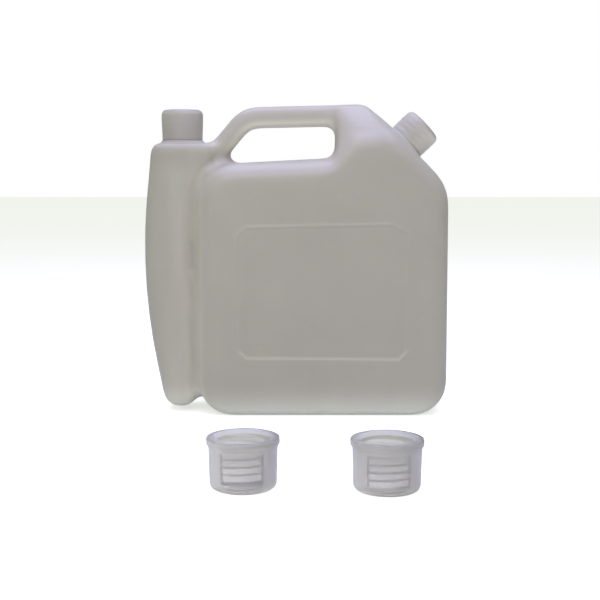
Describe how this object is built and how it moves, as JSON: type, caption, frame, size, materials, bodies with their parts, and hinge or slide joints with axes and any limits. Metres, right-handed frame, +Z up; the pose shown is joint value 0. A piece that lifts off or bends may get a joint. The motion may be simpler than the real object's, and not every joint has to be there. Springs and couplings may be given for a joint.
{
  "type": "fuel mixing bottle",
  "caption": "Blown translucent fuel mixing bottle with a main tank, a side oil tube, a hollow carrying handle and threaded necks, its screw caps taken off and standing open side up.",
  "frame": {"origin": "centre of the tank's flat base, on the surface that it stands on", "axes": "+X from the oil tube towards the tank's far side, +Y from the front face with the panel bead to the back face, +Z up along the oil neck"},
  "size_m": [0.2087, 0.2488, 0.2129],
  "materials": {
    "milky_polyethylene": "natural unpigmented blown polyethylene, milky and faintly translucent, with a soft satin surface",
    "frosted_polypropylene": "natural moulded polypropylene, frosted and see-through enough for the inner threads to show"
  },
  "bodies": {
    "root": {"bottle": "milky_polyethylene", "tank_cap": "frosted_polypropylene", "oil_cap": "frosted_polypropylene"}
  },
  "joints": []
}
